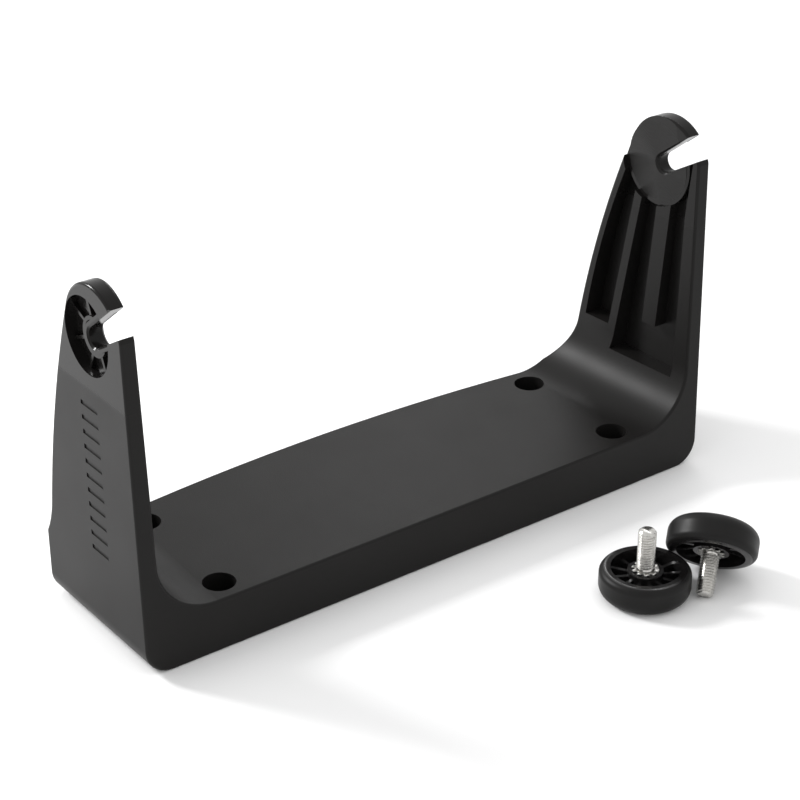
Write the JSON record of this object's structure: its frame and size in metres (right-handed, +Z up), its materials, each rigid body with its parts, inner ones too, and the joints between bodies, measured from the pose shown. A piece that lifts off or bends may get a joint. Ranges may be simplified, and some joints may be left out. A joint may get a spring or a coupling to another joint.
{
  "type": "chartplotter gimbal mounting bracket with clamp knobs",
  "caption": "U-shaped gimbal mounting bracket for a marine chartplotter display, ribbed, with open stud slots in its heads and loose clamp knobs.",
  "frame": {"origin": "on the mounting face, at the centre of the four screw holes", "axes": "+X along the bracket, +Y to its rear edge, +Z up from the mounting face to the arm heads"},
  "size_m": [0.3034, 0.1914, 0.1669],
  "materials": {
    "bracket_moulding": "fine satin grain, black",
    "knob_grip": "soft satin overmould, charcoal",
    "knob_core": "gloss black moulding",
    "stud_steel": "rolled stainless thread",
    "washer_steel": "stainless spring steel"
  },
  "bodies": {
    "bracket": {"bracket": "bracket_moulding"},
    "washer_1": {"knob_1_tooth_washer": "washer_steel"},
    "knob_1": {"knob_1_grip": "knob_grip", "knob_1_core": "knob_core", "knob_1_stud": "stud_steel"},
    "washer_2": {"knob_2_tooth_washer": "washer_steel"},
    "knob_2": {"knob_2_grip": "knob_grip", "knob_2_core": "knob_core", "knob_2_stud": "stud_steel"}
  },
  "joints": [
    {"name": "knob_1_slide", "type": "slide", "parent": "bracket", "child": "washer_1", "axis": [-1, 0, 0], "range_m": [0, 0.1]},
    {"name": "knob_1_turn", "type": "hinge", "parent": "washer_1", "child": "knob_1", "pos_m": [0.0526, -0.1157, 0.0124], "axis": [0, 0, 1], "continuous": true},
    {"name": "knob_2_lift", "type": "slide", "parent": "bracket", "child": "washer_2", "axis": [0, 0, 1], "range_m": [0, 0.1]},
    {"name": "knob_2_turn", "type": "hinge", "parent": "washer_2", "child": "knob_2", "pos_m": [0.08174, -0.12531, 0.015], "axis": [-0.6083, -0.4839, -0.6291], "continuous": true}
  ]
}
